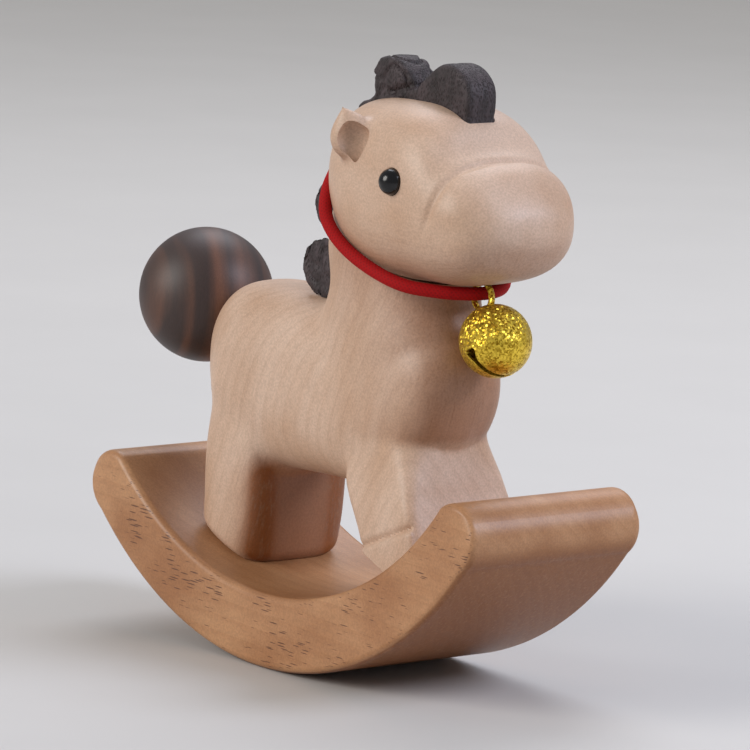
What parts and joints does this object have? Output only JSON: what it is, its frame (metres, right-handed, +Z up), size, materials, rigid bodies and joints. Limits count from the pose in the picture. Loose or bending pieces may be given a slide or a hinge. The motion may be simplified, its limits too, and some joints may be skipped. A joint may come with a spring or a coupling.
{
  "type": "toy rocking horse",
  "caption": "Small wooden desk rocking horse with an upright mane, round tail, cord collar and a jingle bell, on a single curved plank rocker.",
  "frame": {"origin": "on the ground, in the middle of the small flat facet under the rocker where the horse rests", "axes": "+X towards the horse's nose, +Y to the horse's left, +Z up"},
  "size_m": [0.0832, 0.027, 0.0787],
  "materials": {
    "beech": "oiled beech, sawn to a curve and sanded, fine dark flecks along the grain",
    "maple": "oiled maple, sanded smooth, faint grain",
    "wenge": "dark open-pored wenge, cut edges left a little rough",
    "walnut": "turned walnut ball, waxed",
    "dowel": "plain beech dowel, unfinished",
    "bead": "polished black bead",
    "red_cord": "fine braided elastic cord",
    "gilt": "stamped brass, frosted gilt sparkle",
    "steel": "plain steel pellet"
  },
  "bodies": {
    "horse": {"rocker": "beech", "horse_body": "maple", "head": "maple", "mane_head": "wenge", "mane_neck_upper": "wenge", "mane_neck_lower": "wenge", "tail_ball": "walnut", "eye_left": "bead", "eye_right": "bead", "leg_dowel_rear_left": "dowel", "leg_dowel_rear_right": "dowel", "leg_dowel_front_left": "dowel", "leg_dowel_front_right": "dowel", "neck_dowel": "dowel", "tail_dowel": "dowel", "collar_cord": "red_cord", "collar_knot": "red_cord"},
    "loop": {"bell_loop": "gilt"},
    "bell": {"bell_shell": "gilt"},
    "pellet": {"bell_pellet": "steel"}
  },
  "joints": [
    {"name": "bell_swing", "type": "hinge", "parent": "horse", "child": "loop", "pos_m": [0.0258, 0, 0.05085], "axis": [0, -1, 0], "range_deg": [-2, 30]},
    {"name": "bell_sway", "type": "hinge", "parent": "loop", "child": "bell", "pos_m": [0.02672, 0, 0.04919], "axis": [0.8746, 0, 0.4848], "range_deg": [-10, 10]},
    {"name": "pellet_roll", "type": "hinge", "parent": "bell", "child": "pellet", "pos_m": [0.02885, 0, 0.04534], "axis": [0, 1, 0], "continuous": true}
  ]
}
